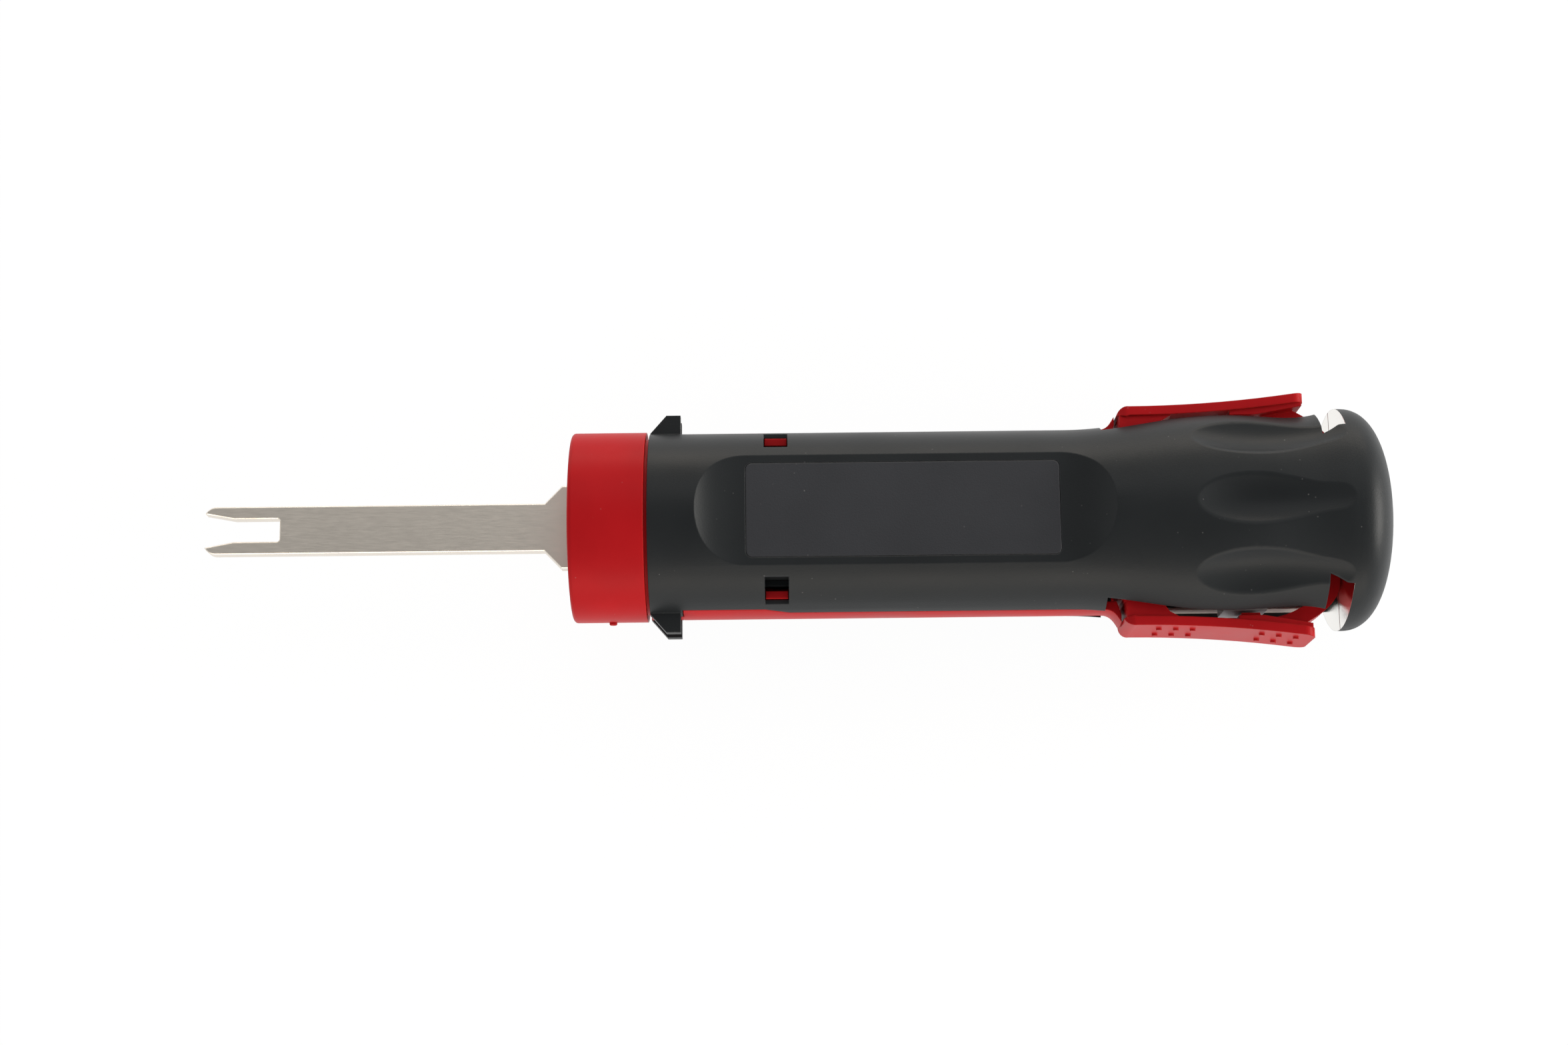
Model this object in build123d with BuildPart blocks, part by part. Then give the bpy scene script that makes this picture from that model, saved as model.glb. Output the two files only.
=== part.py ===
"""Terminal release tool: a forked steel blade held in a two-lever clamping grip.

The tool lies along X. The blade points to -X, the domed cap is at +X, the levers are on +Y and -Y,
and the grip's two shells part at Z = 0. X = 0 is the front end of the collar's round seat.
All sizes are in millimetres.
"""

from build123d import *
import math
import os

# ------------------------------------------------------------------ driving dimensions

# Clearances
PARTING = 0.16        # gap between the two shells on their parting plane
STATIC_GAP = 0.02     # radial gap of a pin or screw that is fixed in its hole
RUNNING_GAP = 0.04    # radial gap of a hole that turns on a pin
SEAT_GAP = 0.1        # gap round a piece that is nested in another

# Round body
BODY_R = 11.86        # front of the grip
SHELL_X0 = 9.35       # front face of the shells
FLARE_X0 = 62.0       # where the grip starts to swell
GRIP_PROFILE = [(75.0, 13.25), (85.0, 13.6), (93.0, 13.55)]
CAP_X0 = 96.4         # front of the domed cap
CAP_LAND = 0.6
CAP_R = 14.16
END_X = 102.8         # top of the dome
DOME_SHOULDER = 4.0   # how far the dome's round corner reaches along X
DOME_FLAT_R = 9.0     # radius inside which the dome is nearly flat

# Nose collar
COLLAR_R = 12.1       # round seat of a protective cap
COLLAR_X0 = -0.5
COLLAR_X1 = 8.9
RIM_R = 0.5           # rounding of the collar's front rim
NECK_R = 11.2         # short neck between the collar and the shells
SPIGOT_R = 7.9
SPIGOT_X1 = 12.0

# Side gap between the shells, as half heights above and below the parting plane
TAB_X1 = 13.4
TAB_Z = 1.2
FRONT_EDGE_Z = 3.3
STEP_X0 = 23.8
STEP_X1 = 26.9
REAR_EDGE_Z = 2.3
SLOT_X0 = 66.5        # lever slot
SLOT_X1 = 93.5
SLOT_Z = 5.5

# Snap barbs beside the parting plane
BARB_TOP_X = 11.4
BARB_X1 = 13.2
BARB_FOOT_R = 11.7    # radius at which the barb's slope starts
BARB_R = 14.05
BARB_THICKNESS = 1.4
BARB_ROOT_R = 11.0

# Inner carrier, a round bar with flats above and below
CORE_R = 9.0
CORE_Z = 8.0
CORE_X1 = 66.0
CHANNEL_Z = 1.5       # half height of the channel for the blade and jaws
RAIL_INNER_Y = 9.35
RAIL_FLARE_X0 = 66.4  # where the rail turns outwards to meet the lever's nose
RAIL_FLARE_X1 = 68.55
RAIL_FLARE_R = 13.5
RAIL_LIP = 1.0        # thickness of the turned-out lip

# Windows, one in each quarter of the shells
WINDOW_X0 = 23.8
WINDOW_X1 = 26.8
WINDOW_Z0 = 4.5
WINDOW_Z1 = 8.5
WINDOW_INNER_Y = 7.9

# Lugs on the rails that snap up into the windows
LUG_Y0 = 8.8
LUG_Y1 = 10.3
LUG_Z = 4.8

# Marking recess and plate
RECESS_FLOOR_Z = 9.6
RECESS_HALF_WIDTH = 7.1
RECESS_X0 = 21.5
RECESS_X1 = 60.6
RECESS_END_R = 10.0
PLATE_THICKNESS = 0.6
PLATE_HALF_WIDTH = 6.0
PLATE_CORNER_R = 0.8
PLATE_LINE = 0.06     # gap that outlines the plate

# Finger scallops
SCALLOP_X = 85.6
SCALLOP_MINOR_R = 5.5
SCALLOP_OUTER_R = 31.0
SCALLOP_FLOOR_R = 12.25
SCALLOP_ANGLE = 40.0
SCALLOP_EDGE_R = 0.8  # rounding of the scallop's rim

# Rear hollow and cap notches
HOLLOW_R = 9.8
HOLLOW_HALF_WIDTH = 6.8
HOLLOW_X0 = 68.0
HOLLOW_X1 = 92.0
NOTCH_Y = 7.5
NOTCH_Z = 9.9
ARM_CAVITY_Y = 4.4
ARM_CAVITY_Z = 3.2

# Steel strips that line the lever slots, on edge along the slots' floors
STRIP_X0 = 74.0
STRIP_X1 = 93.2
STRIP_Y = 10.75
STRIP_THICKNESS = 0.3
STRIP_TOP_Z = 2.8

# Screws
SHELL_SCREW_X = [71.5, 97.9]
SHELL_BOSS_R = 3.2
SHELL_BOSS_Z = 10.8
SCREW_R = 1.2
SCREW_HEAD_R = 2.2
SCREW_HEAD_H = 1.5
SCREW_HEAD_Z = 8.5    # depth below the parting plane at which the head bears
SCREW_TIP_Z = 6.0
CARRIER_SCREW_X = [27.0, 58.0]
CARRIER_SCREW_R = 1.0
CARRIER_HEAD_R = 1.9
CARRIER_HEAD_H = 1.4
CARRIER_TIP_Z = 5.0
POST_LENGTH = 5.6
POST_HALF_WIDTH = 4.0
DRIVE_WIDTH = 0.5
DRIVE_DEPTH = 0.7

# Blade
BLADE_THICKNESS = 2.0
BLADE_TIP_X = -47.4
BLADE_WIDTH = 6.15
FORK_GAP = 3.0
FORK_ROOT_X = -37.9
FORK_ROOT_R = 0.35
TIP_Y = 2.195
TIP_ROUND_X = -46.1
TAPER_X = -43.7
SHOULDER_X0 = -4.2
SHOULDER_X1 = -2.0
TANG_WIDTH = 10.7
TANG_X1 = 24.0
BLADE_EDGE = 0.12
BLADE_TRAVEL_GAP = 0.05

# Blade guide
GUIDE_X0 = 1.0
GUIDE_X1 = 11.8
GUIDE_WIDTH = 13.2
GUIDE_HEIGHT = 5.4
GUIDE_SLOT_GAP = 0.075
MOUTH_GAP = 0.3

# Pins
PIN_R = 1.0
LEVER_PIN_X = 70.0
LEVER_PIN_Y = 9.0
LEVER_PIN_Z = 7.2
JAW_PIN_X = 46.0
JAW_PIN_Y = 7.0
JAW_PIN_Z = 4.0

# Levers
PADDLE_X0 = 68.7
PADDLE_X1 = 92.5
PADDLE_HEIGHT = 9.2
PADDLE_END_R = 1.4
PADDLE_THICKNESS = 1.15
PADDLE_FLAT_X = 70.2  # where the paddle's outer face runs parallel to X
PADDLE_Y = 14.1
PADDLE_CURVE_R = 152.0
NOSE_Y = 13.1
WEB_Z = 4.2
WEB_STEP = 0.3        # how far the web's edges stand in from the paddle's
WEB_X1 = 74.4         # rear end of the web over the eye
HEEL_X0 = 83.0        # front end of the block behind the tooth
EYE_R = 1.9
TOOTH_X0 = 83.6
TOOTH_X1 = 86.2
TOOTH_Y = 12.35
TOOTH_Z = 2.6
TOOTH_HEIGHT = 1.2
ARM_THICKNESS = 2.0
ARM_Z = 2.4
ARM_PATH = [(87.4, 14.0), (90.0, 13.35), (92.4, 12.1), (94.5, 10.3), (95.2, 7.4)]
PIP_R = 0.36
PIP_HEIGHT = 0.25
PIP_PITCH = 2.12
PIP_X = [73.2, 86.1]
PIP_COLUMNS = 3
PIP_ROW_Z = 2.0

# Jaws, pads and spring
JAW_THICKNESS = 1.8
JAW_Z = 1.35
JAW_PATH = [(12.6, 7.05), (24.0, 7.05), (46.0, 7.0), (60.0, 6.2), (70.0, 5.5), (76.0, 6.8), (82.4, 10.4)]
JAW_BOSS_R = 1.95
PAD_X0 = 13.0
PAD_X1 = 22.0
PAD_Z = 1.3
CUP_X0 = 81.4
CUP_X1 = 86.8
CUP_Y0 = 9.4
TOOTH_CLEARANCE = 0.3
STUD_R = 1.5
STUD_LENGTH = 1.8
SPRING_X = 84.1
SPRING_R = 2.2
WIRE_R = 0.3
SPRING_TURNS = 8
SPRING_END_GAP = 0.05

# ------------------------------------------------------------------ values that follow

CAP_ROUND_X = CAP_X0 + CAP_LAND
PLATE_FLOOR_Z = RECESS_FLOOR_Z - PLATE_THICKNESS
CAVITY_R = CORE_R + SEAT_GAP
CAVITY_Z = CORE_Z + SEAT_GAP
TANG_HALF = TANG_WIDTH / 2
BLADE_HALF = BLADE_WIDTH / 2
PAD_Y0 = TANG_HALF + BLADE_TRAVEL_GAP
PAD_Y1 = JAW_PATH[0][1] - JAW_THICKNESS / 2
CUP_Y1 = TOOTH_Y - TOOTH_CLEARANCE
PADDLE_CENTRE = (PADDLE_FLAT_X, PADDLE_Y + PADDLE_CURVE_R)
PADDLE_SWEEP = math.degrees(math.asin((PADDLE_X1 - PADDLE_FLAT_X) / PADDLE_CURVE_R))


def paddle_y(x):
    """Y of the paddle's outer face at x, on its large arc."""
    return PADDLE_CENTRE[1] - math.sqrt(PADDLE_CURVE_R**2 - (x - PADDLE_FLAT_X) ** 2)


# ------------------------------------------------------------------ shared shapes


def flatted_bar(radius, half_height, x0, x1):
    """A round bar along X with flats above and below."""
    with BuildPart() as bar:
        with BuildSketch(Plane.YZ.offset(x0)):
            Circle(radius)
            Rectangle(2 * radius, 2 * half_height, mode=Mode.INTERSECT)
        extrude(amount=x1 - x0)
    return bar.part


def side_gap(margin, z_floor, x1):
    """The stepped gap between the shells' side edges, narrowed by a margin, from z_floor up."""
    upper = [
        (SHELL_X0 + margin, TAB_Z - margin),
        (TAB_X1 + margin, TAB_Z - margin),
        (TAB_X1 + margin, FRONT_EDGE_Z - margin),
        (STEP_X0, FRONT_EDGE_Z - margin),
        (STEP_X1, REAR_EDGE_Z - margin),
        (x1, REAR_EDGE_Z - margin),
    ]
    lower = [(x, max(-z, z_floor)) for x, z in reversed(upper)]
    with BuildPart() as gap:
        with BuildSketch(Plane.XZ):
            with BuildLine():
                Polyline(*upper, *lower, close=True)
            make_face()
        extrude(amount=2 * BODY_R, both=True)
    return gap.part


def pin(x, y, half_length):
    """A plain pin along Z with chamfered ends."""
    with BuildPart() as plain_pin:
        with BuildSketch(Plane.XY.offset(-half_length)):
            with Locations((x, y)):
                Circle(PIN_R)
        extrude(amount=2 * half_length)
        chamfer(plain_pin.edges().filter_by(GeomType.CIRCLE), 0.2)
    return plain_pin.part


# ------------------------------------------------------------------ grip shells


def shell_blank():
    """The upper shell without its screw holes; the lower one is its mirror image."""
    with BuildPart() as shell:
        with BuildSketch(Plane.XY):
            with BuildLine():
                Polyline((END_X, 0), (SHELL_X0, 0), (SHELL_X0, BODY_R), (FLARE_X0, BODY_R))
                Spline((FLARE_X0, BODY_R), *GRIP_PROFILE, (CAP_X0, CAP_R), tangents=((1, 0), (1, 0)))
                Line((CAP_X0, CAP_R), (CAP_ROUND_X, CAP_R))
                Bezier(
                    (CAP_ROUND_X, CAP_R),
                    (CAP_ROUND_X + DOME_SHOULDER, CAP_R),
                    (END_X, DOME_FLAT_R),
                    (END_X, 0),
                )
            make_face()
        revolve(axis=Axis.X)
        split(bisect_by=Plane.XY.offset(PARTING / 2), keep=Keep.TOP)
        # finger scallops, each a slice of a large ring
        for angle in (-SCALLOP_ANGLE, 0, SCALLOP_ANGLE):
            turn = math.radians(angle)
            reach = SCALLOP_FLOOR_R + SCALLOP_OUTER_R
            ring = Plane(
                origin=(SCALLOP_X, reach * math.sin(turn), reach * math.cos(turn)),
                x_dir=(1, 0, 0),
                z_dir=(0, math.cos(turn), -math.sin(turn)),
            )
            with Locations(ring):
                Torus(SCALLOP_OUTER_R - SCALLOP_MINOR_R, SCALLOP_MINOR_R, mode=Mode.SUBTRACT)
        rims = shell.faces().filter_by(GeomType.TORUS).edges().filter_by(lambda edge: edge.is_closed)
        fillet(rims, SCALLOP_EDGE_R)
        # seat of the carrier, side edges and lever slot
        add(flatted_bar(CAVITY_R, CAVITY_Z, SHELL_X0, CORE_X1 + SEAT_GAP), mode=Mode.SUBTRACT)
        add(side_gap(0, -FRONT_EDGE_Z, SLOT_X0), mode=Mode.SUBTRACT)
        with Locations(((SLOT_X0 + SLOT_X1) / 2, 0, 0)):
            Box(SLOT_X1 - SLOT_X0, 4 * BODY_R, 2 * SLOT_Z, mode=Mode.SUBTRACT)
        # hollow over the jaw tails
        with BuildSketch(Plane.YZ.offset(HOLLOW_X0)):
            Circle(HOLLOW_R)
            Rectangle(2 * HOLLOW_HALF_WIDTH, 2 * HOLLOW_R, mode=Mode.INTERSECT)
        extrude(amount=HOLLOW_X1 - HOLLOW_X0, mode=Mode.SUBTRACT)
        for side in (1, -1):
            # notch ahead of the cap and the cavity that takes the lever's rear arm
            with Locations(((SLOT_X1 + CAP_X0) / 2, side * (NOTCH_Y + BODY_R), 0)):
                Box(CAP_X0 - SLOT_X1, 2 * BODY_R, 2 * NOTCH_Z, mode=Mode.SUBTRACT)
            with Locations(((SLOT_X1 + CAP_X0) / 2, side * (ARM_CAVITY_Y + BODY_R), 0)):
                Box(CAP_X0 - SLOT_X1, 2 * BODY_R, 2 * ARM_CAVITY_Z, mode=Mode.SUBTRACT)
            window_y = side * (WINDOW_INNER_Y + BODY_R)
            with Locations(((WINDOW_X0 + WINDOW_X1) / 2, window_y, (WINDOW_Z0 + WINDOW_Z1) / 2)):
                Box(WINDOW_X1 - WINDOW_X0, 2 * BODY_R, WINDOW_Z1 - WINDOW_Z0, mode=Mode.SUBTRACT)
            # slot behind the shell's skin that takes a lug
            with Locations(((WINDOW_X0 + WINDOW_X1) / 2, side * (LUG_Y0 + LUG_Y1) / 2, 0)):
                Box(
                    WINDOW_X1 - WINDOW_X0,
                    LUG_Y1 - LUG_Y0 + 2 * SEAT_GAP,
                    2 * (LUG_Z + SEAT_GAP),
                    mode=Mode.SUBTRACT,
                )
            # snap barb
            with BuildSketch(Plane.XY.offset(TAB_Z)):
                with BuildLine():
                    Polyline(
                        (SHELL_X0, side * BARB_ROOT_R),
                        (SHELL_X0, side * BARB_FOOT_R),
                        (BARB_TOP_X, side * BARB_R),
                        (BARB_X1, side * BARB_R),
                        (BARB_X1, side * BARB_ROOT_R),
                        close=True,
                    )
                make_face()
            extrude(amount=BARB_THICKNESS)
        # marking recess with scooped ends
        with BuildSketch(Plane.XZ):
            with BuildLine():
                arc_z = RECESS_FLOOR_Z + RECESS_END_R
                front = CenterArc((RECESS_X0, arc_z), RECESS_END_R, 200, 70)
                rear = CenterArc((RECESS_X1, arc_z), RECESS_END_R, 270, 70)
                Line(front @ 1, rear @ 0)
                Line(rear @ 1, front @ 0)
            make_face()
        extrude(amount=RECESS_HALF_WIDTH, both=True, mode=Mode.SUBTRACT)
        # seat of the marking plate
        with BuildSketch(Plane.XY.offset(PLATE_FLOOR_Z)):
            with Locations(((RECESS_X0 + RECESS_X1) / 2, 0)):
                RectangleRounded(RECESS_X1 - RECESS_X0, 2 * PLATE_HALF_WIDTH, PLATE_CORNER_R)
        extrude(amount=2 * PLATE_THICKNESS, mode=Mode.SUBTRACT)
        # boss for the front shell screw
        with BuildSketch(Plane.XY.offset(PARTING / 2)):
            with Locations((SHELL_SCREW_X[0], 0)):
                Circle(SHELL_BOSS_R)
        extrude(amount=SHELL_BOSS_Z - PARTING / 2)
        # blind seats of the lever pins
        with BuildSketch(Plane.XY):
            with Locations((LEVER_PIN_X, LEVER_PIN_Y), (LEVER_PIN_X, -LEVER_PIN_Y)):
                Circle(PIN_R + STATIC_GAP)
        extrude(amount=LEVER_PIN_Z + STATIC_GAP, mode=Mode.SUBTRACT)
    return shell.part


blank = shell_blank()

with BuildPart() as upper_shell:
    add(blank)
    with BuildSketch(Plane.XY):
        with Locations(*[(x, 0) for x in SHELL_SCREW_X]):
            Circle(SCREW_R + STATIC_GAP)
    extrude(amount=SCREW_TIP_Z + SEAT_GAP, mode=Mode.SUBTRACT)
upper_shell.part.label = "upper_shell"

with BuildPart() as lower_shell:
    add(mirror(blank, about=Plane.XY))
    with BuildSketch(Plane.XY.offset(-SCREW_HEAD_Z - SCREW_HEAD_H)):
        with Locations(*[(x, 0) for x in SHELL_SCREW_X]):
            Circle(SCREW_R + SEAT_GAP)
    extrude(amount=SCREW_HEAD_Z + SCREW_HEAD_H, mode=Mode.SUBTRACT)
    with BuildSketch(Plane.XY.offset(-SCREW_HEAD_Z)):
        with Locations(*[(x, 0) for x in SHELL_SCREW_X]):
            Circle(SCREW_HEAD_R + SEAT_GAP)
    extrude(amount=-BODY_R, mode=Mode.SUBTRACT)
lower_shell.part.label = "lower_shell"


def marking_plate(label, z0):
    """A thin plate that fills the marking recess, outlined by a narrow gap."""
    with BuildPart() as plate:
        with BuildSketch(Plane.XY.offset(z0)):
            with Locations(((RECESS_X0 + RECESS_X1) / 2, 0)):
                RectangleRounded(
                    RECESS_X1 - RECESS_X0 - 2 * PLATE_LINE,
                    2 * (PLATE_HALF_WIDTH - PLATE_LINE),
                    PLATE_CORNER_R - PLATE_LINE,
                )
        extrude(amount=PLATE_THICKNESS)
    plate.part.label = label
    return plate.part


upper_plate = marking_plate("upper_marking_plate", PLATE_FLOOR_Z)
lower_plate = marking_plate("lower_marking_plate", -RECESS_FLOOR_Z)



def slot_strips(label, side):
    """Two thin strips on edge, one in each lever slot, standing on the shell's slot floors."""
    with BuildPart() as strips:
        for y in (-STRIP_Y, STRIP_Y):
            with Locations(((STRIP_X0 + STRIP_X1) / 2, y, side * (STRIP_TOP_Z + SLOT_Z) / 2)):
                Box(STRIP_X1 - STRIP_X0, STRIP_THICKNESS, SLOT_Z - STRIP_TOP_Z)
    strips.part.label = label
    return strips.part


upper_strips = slot_strips("upper_slot_strips", 1)
lower_strips = slot_strips("lower_slot_strips", -1)

# ------------------------------------------------------------------ nose

with BuildPart() as nose_collar:
    with BuildSketch(Plane.XY):
        with BuildLine():
            Polyline(
                (SPIGOT_X1, 0),
                (COLLAR_X0, 0),
                (COLLAR_X0, COLLAR_R - RIM_R),
            )
            RadiusArc((COLLAR_X0, COLLAR_R - RIM_R), (COLLAR_X0 + RIM_R, COLLAR_R), RIM_R)
            Polyline(
                (COLLAR_X0 + RIM_R, COLLAR_R),
                (COLLAR_X1, COLLAR_R),
                (COLLAR_X1, NECK_R),
                (SHELL_X0, NECK_R),
                (SHELL_X0, SPIGOT_R),
                (SPIGOT_X1, SPIGOT_R),
                (SPIGOT_X1, 0),
            )
        make_face()
    revolve(axis=Axis.X)
    with BuildSketch(Plane.YZ.offset(COLLAR_X0)):
        Rectangle(TANG_WIDTH + 2 * MOUTH_GAP, BLADE_THICKNESS + 2 * MOUTH_GAP)
    extrude(amount=SPIGOT_X1 - COLLAR_X0, mode=Mode.SUBTRACT)
    with BuildSketch(Plane.YZ.offset(GUIDE_X0)):
        Rectangle(GUIDE_WIDTH + 2 * STATIC_GAP, GUIDE_HEIGHT + 2 * STATIC_GAP)
    extrude(amount=SPIGOT_X1 - GUIDE_X0, mode=Mode.SUBTRACT)
nose_collar.part.label = "nose_collar"

with BuildPart() as blade_guide:
    with BuildSketch(Plane.YZ.offset(GUIDE_X0)):
        Rectangle(GUIDE_WIDTH, GUIDE_HEIGHT)
        Rectangle(
            TANG_WIDTH + 2 * BLADE_TRAVEL_GAP,
            BLADE_THICKNESS + 2 * GUIDE_SLOT_GAP,
            mode=Mode.SUBTRACT,
        )
    extrude(amount=GUIDE_X1 - GUIDE_X0)
blade_guide.part.label = "blade_guide"

# ------------------------------------------------------------------ carrier

with BuildPart() as carrier_tray:
    # side rails, flush with the round body and turned outwards at the rear
    with BuildSketch(Plane.XY):
        with BuildLine():
            Polyline(
                (CORE_X1 + SEAT_GAP, 0),
                (SHELL_X0 + SEAT_GAP, 0),
                (SHELL_X0 + SEAT_GAP, BODY_R),
                (RAIL_FLARE_X0, BODY_R),
            )
            Spline((RAIL_FLARE_X0, BODY_R), (RAIL_FLARE_X1, RAIL_FLARE_R), tangents=((1, 0), (0.6, 1)))
            Polyline(
                (RAIL_FLARE_X1, RAIL_FLARE_R),
                (RAIL_FLARE_X1, RAIL_FLARE_R - RAIL_LIP),
                (CORE_X1 + 2 * RAIL_LIP, BODY_R - RAIL_LIP),
                (CORE_X1 + SEAT_GAP, BODY_R - RAIL_LIP),
                (CORE_X1 + SEAT_GAP, 0),
            )
        make_face()
    revolve(axis=Axis.X)
    add(side_gap(SEAT_GAP, -FRONT_EDGE_Z, RAIL_FLARE_X1), mode=Mode.INTERSECT)
    with Locations((0, 0, FRONT_EDGE_Z - CHANNEL_Z)):
        Box(4 * CORE_X1, 2 * RAIL_INNER_Y, 2 * FRONT_EDGE_Z, mode=Mode.SUBTRACT)
    for side in (1, -1):
        with Locations(((WINDOW_X0 + WINDOW_X1) / 2, side * (LUG_Y0 + LUG_Y1) / 2, 0)):
            Box(WINDOW_X1 - WINDOW_X0 - 2 * SEAT_GAP, LUG_Y1 - LUG_Y0, 2 * LUG_Z)
    # lower half of the round bar
    add(flatted_bar(CORE_R, CORE_Z, SHELL_X0 + SEAT_GAP, CORE_X1))
    with Locations((0, 0, FRONT_EDGE_Z + BODY_R - CHANNEL_Z)):
        Box(4 * CORE_X1, 2 * RAIL_INNER_Y, 2 * (FRONT_EDGE_Z + BODY_R), mode=Mode.SUBTRACT)
    # posts that carry the cover, the front one also being the blade's stop
    with BuildSketch(Plane.XY.offset(-CHANNEL_Z)):
        with Locations(*[(x, 0) for x in CARRIER_SCREW_X]):
            Rectangle(POST_LENGTH, 2 * POST_HALF_WIDTH)
    extrude(amount=2 * CHANNEL_Z)
    with BuildSketch(Plane.XY.offset(-CARRIER_TIP_Z - SEAT_GAP)):
        with Locations(*[(x, 0) for x in CARRIER_SCREW_X]):
            Circle(CARRIER_SCREW_R + STATIC_GAP)
    extrude(amount=2 * CARRIER_TIP_Z, mode=Mode.SUBTRACT)
    with BuildSketch(Plane.XY.offset(-JAW_PIN_Z - STATIC_GAP)):
        with Locations((JAW_PIN_X, JAW_PIN_Y), (JAW_PIN_X, -JAW_PIN_Y)):
            Circle(PIN_R + STATIC_GAP)
    extrude(amount=JAW_PIN_Z, mode=Mode.SUBTRACT)
    with BuildSketch(Plane.YZ.offset(SHELL_X0)):
        Circle(SPIGOT_R + SEAT_GAP)
    extrude(amount=SPIGOT_X1 - SHELL_X0 + SEAT_GAP, mode=Mode.SUBTRACT)
carrier_tray.part.label = "carrier_tray"

with BuildPart() as carrier_cover:
    add(flatted_bar(CORE_R, CORE_Z, SHELL_X0 + SEAT_GAP, CORE_X1))
    split(bisect_by=Plane.XY.offset(CHANNEL_Z), keep=Keep.TOP)
    with BuildSketch(Plane.XY):
        with Locations(*[(x, 0) for x in CARRIER_SCREW_X]):
            Circle(CARRIER_SCREW_R + SEAT_GAP)
    extrude(amount=CORE_Z, mode=Mode.SUBTRACT)
    with BuildSketch(Plane.XY.offset(CORE_Z - CARRIER_HEAD_H)):
        with Locations(*[(x, 0) for x in CARRIER_SCREW_X]):
            Circle(CARRIER_HEAD_R + SEAT_GAP)
    extrude(amount=CARRIER_HEAD_H, mode=Mode.SUBTRACT)
    with BuildSketch(Plane.XY):
        with Locations((JAW_PIN_X, JAW_PIN_Y), (JAW_PIN_X, -JAW_PIN_Y)):
            Circle(PIN_R + STATIC_GAP)
    extrude(amount=JAW_PIN_Z + STATIC_GAP, mode=Mode.SUBTRACT)
    with BuildSketch(Plane.YZ.offset(SHELL_X0)):
        Circle(SPIGOT_R + SEAT_GAP)
    extrude(amount=SPIGOT_X1 - SHELL_X0 + SEAT_GAP, mode=Mode.SUBTRACT)
carrier_cover.part.label = "carrier_cover"

# ------------------------------------------------------------------ screws and pins


def screws(label, xs, shank_r, head_r, head_h, bearing_z, tip_z):
    """Cross-slot screws along Z on the tool's middle plane, heads away from the parting plane."""
    outward = math.copysign(1, bearing_z)
    with BuildPart() as screw_set:
        with BuildSketch(Plane.XY.offset(bearing_z)):
            with Locations(*[(x, 0) for x in xs]):
                Circle(head_r)
        extrude(amount=outward * head_h)
        with BuildSketch(Plane.XY.offset(bearing_z)):
            with Locations(*[(x, 0) for x in xs]):
                Circle(shank_r)
        extrude(amount=tip_z - bearing_z)
        with BuildSketch(Plane.XY.offset(bearing_z + outward * head_h)):
            with Locations(*[(x, 0) for x in xs]):
                Rectangle(1.4 * head_r, DRIVE_WIDTH)
                Rectangle(DRIVE_WIDTH, 1.4 * head_r)
        extrude(amount=-outward * DRIVE_DEPTH, mode=Mode.SUBTRACT)
    screw_set.part.label = label
    return screw_set.part


shell_screws = screws(
    "shell_screws", SHELL_SCREW_X, SCREW_R, SCREW_HEAD_R, SCREW_HEAD_H, -SCREW_HEAD_Z, SCREW_TIP_Z
)
carrier_screws = screws(
    "carrier_screws",
    CARRIER_SCREW_X,
    CARRIER_SCREW_R,
    CARRIER_HEAD_R,
    CARRIER_HEAD_H,
    CORE_Z - CARRIER_HEAD_H,
    -CARRIER_TIP_Z,
)

# ------------------------------------------------------------------ blade

with BuildPart() as blade:
    with BuildSketch(Plane.XY):
        with BuildLine():
            Polyline(
                (TANG_X1, 0),
                (FORK_ROOT_X, 0),
                (FORK_ROOT_X, FORK_GAP / 2),
                (TAPER_X, FORK_GAP / 2),
                (BLADE_TIP_X, TIP_Y),
            )
            RadiusArc((BLADE_TIP_X, TIP_Y), (TIP_ROUND_X, BLADE_HALF), 1.6)
            Polyline(
                (TIP_ROUND_X, BLADE_HALF),
                (SHOULDER_X0, BLADE_HALF),
                (SHOULDER_X1, TANG_HALF),
                (TANG_X1, TANG_HALF),
                (TANG_X1, 0),
            )
        make_face()
        mirror(about=Plane.XZ)
    extrude(amount=BLADE_THICKNESS / 2, both=True)
    roots = blade.edges().filter_by(Axis.Z).filter_by_position(Axis.X, FORK_ROOT_X - 0.01, FORK_ROOT_X + 0.01)
    fillet(roots, FORK_ROOT_R)
    chamfer(blade.faces().filter_by(Axis.Z).edges(), BLADE_EDGE)
blade.part.label = "blade"

# ------------------------------------------------------------------ levers


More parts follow.
